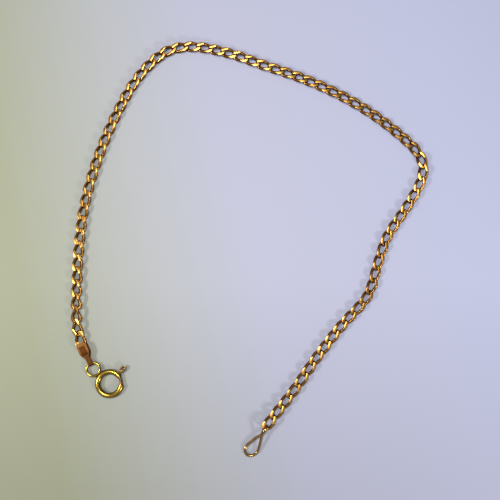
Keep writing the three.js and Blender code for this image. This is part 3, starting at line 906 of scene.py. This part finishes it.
def loop_frames():
    """Middles and frames round the loop, evenly spaced, without twist between neighbours."""
    points = [Vector((along * LOOP_LENGTH, side * LOOP_HALF_WIDTH, rise * loop_top.z))
              for along, side, rise in LOOP_ROWS]
    fine = [spline_point(points, step / LOOP_SAMPLES, closed=True)
            for step in range(LOOP_SAMPLES)]
    travelled = [0.0]
    for a, b in zip(fine, fine[1:] + fine[:1]):
        travelled.append(travelled[-1] + (b - a).length)
    middles = []
    index = 0
    for step in range(LOOP_STEPS):
        target = travelled[-1] * step / LOOP_STEPS
        while travelled[index + 1] < target:
            index += 1
        middles.append(fine[index])
    tangents = [(middles[(k + 1) % LOOP_STEPS] - middles[k - 1]).normalized()
                for k in range(LOOP_STEPS)]
    outward = UP.cross(tangents[0]).normalized()
    carried = [outward]
    for k in range(1, LOOP_STEPS + 1):
        outward = tangents[k - 1].rotation_difference(tangents[k % LOOP_STEPS]) @ outward
        carried.append(outward)
    start = carried[0]
    end = carried[-1]
    twist = math.atan2(tangents[0].dot(end.cross(start)), end.dot(start))
    frames = []
    for k in range(LOOP_STEPS):
        turned = Matrix.Rotation(twist * k / LOOP_STEPS, 3, tangents[k]) @ carried[k]
        frames.append((middles[k], turned, turned.cross(tangents[k])))
    return frames


wire_frames = loop_frames()
loop_bm = bmesh.new()
wire_ring(loop_bm, LOOP_WIRE / 2, WIRE_SIDES, LOOP_STEPS,
          lambda share: wire_frames[round(share * LOOP_STEPS) % LOOP_STEPS])
loop_foot = Vector((loop_top.x, loop_top.y, 0))
end_loop = finish_piece("figure_eight_end_loop", mesh_of(loop_bm, "loop"),
                        placed(loop_foot, LOOP_HEADING))
paint(end_loop, loop_gold)
wear_for(end_loop, "end_loop", "anklet")

# %% [markdown]
# ## The floor
# The anklet lies on a plain pale surface. Its colour drifts from a grey with a little green in
# it on the left to a cool lavender on the right, painted light for the tinted, uneven light on
# it, so
# a wide colour ramp follows X and, a little, Y. Towards the viewer it also gets a little darker:
# painted shade.

# %% Floor
FLOOR_HALF_SIZE = 1.2
FLOOR_DROP = 0.00002


def floor_material():
    material = bpy.data.materials.new("pale_floor")
    material.use_nodes = True
    nodes, link_sockets = material.node_tree.nodes, material.node_tree.links.new
    shader = nodes["Principled BSDF"]
    shader.inputs["Roughness"].default_value = 0.6
    coords = nodes.new("ShaderNodeTexCoord")
    split = nodes.new("ShaderNodeSeparateXYZ")
    across = nodes.new("ShaderNodeMapRange")
    across.inputs["From Min"].default_value = -0.06
    across.inputs["From Max"].default_value = 0.06
    # Painted light: the ramp's drift in tint and brightness stands for the uneven light on the
    # plain surface.
    painted_light_ramp = nodes.new("ShaderNodeValToRGB")
    painted_light_ramp.color_ramp.elements[0].color = (0.48, 0.50, 0.34, 1)
    painted_light_ramp.color_ramp.elements[1].color = (0.68, 0.71, 0.97, 1)
    for position, colour in ((0.3, (0.60, 0.62, 0.65, 1)), (0.5, (0.65, 0.66, 0.84, 1))):
        painted_light_ramp.color_ramp.elements.new(position).color = colour
    link_sockets(coords.outputs["Object"], split.inputs["Vector"])
    slant = nodes.new("ShaderNodeMath")
    slant.operation = "MULTIPLY_ADD"
    slant.inputs[1].default_value = 0.25
    link_sockets(split.outputs["Y"], slant.inputs[0])
    link_sockets(split.outputs["X"], slant.inputs[2])
    link_sockets(slant.outputs[0], across.inputs["Value"])
    link_sockets(across.outputs["Result"], painted_light_ramp.inputs["Fac"])
    # Painted shade: the floor gets darker towards the viewer.
    painted_shade_near = nodes.new("ShaderNodeMapRange")
    painted_shade_near.inputs["From Min"].default_value = -0.06
    painted_shade_near.inputs["From Max"].default_value = -0.01
    painted_shade_near.inputs["To Min"].default_value = 0.77
    painted_shade_near.inputs["To Max"].default_value = 0.95
    shaded = nodes.new("ShaderNodeVectorMath")
    shaded.operation = "SCALE"
    link_sockets(split.outputs["Y"], painted_shade_near.inputs["Value"])
    link_sockets(painted_light_ramp.outputs["Color"], shaded.inputs[0])
    link_sockets(painted_shade_near.outputs["Result"], shaded.inputs["Scale"])
    link_sockets(shaded.outputs["Vector"], shader.inputs["Base Color"])
    return material


floor_bm = bmesh.new()
bmesh.ops.create_grid(floor_bm, x_segments=1, y_segments=1, size=FLOOR_HALF_SIZE,
                      matrix=Matrix.Translation((0, 0, -FLOOR_DROP)))
floor_mesh = mesh_of(floor_bm, "floor")
floor_mesh.materials.append(floor_material())
floor = bpy.data.objects.new("floor", floor_mesh)
bpy.context.scene.collection.objects.link(floor)

# %% [markdown]
# ## Light
# Polished gold shows its surroundings more than itself. A soft panel overhead lights the floor
# and the filed tops of the links. Two small panels, at the left and at the right, throw the two
# faint shadows, and a small one at the far side adds glints. A weak warm world fills the rest.

# %% Lights
def soft_panel(name, place, size, watts):
    data = bpy.data.lights.new(name, "AREA")
    data.shape = "RECTANGLE"
    data.size, data.size_y = size
    data.energy = watts
    lamp = bpy.data.objects.new(name, data)
    lamp.location = place
    lamp.rotation_euler = Vector(place).to_track_quat("Z", "Y").to_euler()
    bpy.context.scene.collection.objects.link(lamp)


soft_panel("overhead_panel", (-0.04, 0.05, 0.35), (0.1, 0.1), 0.44)
soft_panel("left_panel", (-0.24, -0.04, 0.22), (0.04, 0.04), 0.34)
soft_panel("right_panel", (0.19, -0.20, 0.15), (0.04, 0.04), 0.24)
soft_panel("far_panel", (-0.006, 0.15, 0.40), (0.045, 0.03), 0.12)

world = bpy.data.worlds.new("studio")
world.use_nodes = True
background = world.node_tree.nodes["Background"]
background.inputs["Color"].default_value = (1.0, 0.97, 0.93, 1)
background.inputs["Strength"].default_value = 0.2
bpy.context.scene.world = world
bpy.context.scene.view_settings.view_transform = "Standard"

# %% [markdown]
# ## Camera
# The photo was taken from almost straight above, leaning a few degrees towards the viewer, from
# close by: the camera stands 137.5 mm from the table.

# %% Camera
CAMERA_DISTANCE = 137.5
CAMERA_TILT = 5.5
CAMERA_LENS = 39.6
CAMERA_SENSOR = 36
CAMERA_NEAR = 0.005

tilt = math.radians(CAMERA_TILT)
aim = Vector((shift.x, shift.y, 0))
stand = aim + CAMERA_DISTANCE * Vector((0, -math.sin(tilt), math.cos(tilt)))
camera_data = bpy.data.cameras.new("camera")
camera_data.lens = CAMERA_LENS
camera_data.sensor_width = CAMERA_SENSOR
camera_data.clip_start = CAMERA_NEAR
camera = bpy.data.objects.new("camera", camera_data)
camera.location = stand * MM
camera.rotation_euler = (tilt, 0, 0)
bpy.context.scene.collection.objects.link(camera)
bpy.context.scene.camera = camera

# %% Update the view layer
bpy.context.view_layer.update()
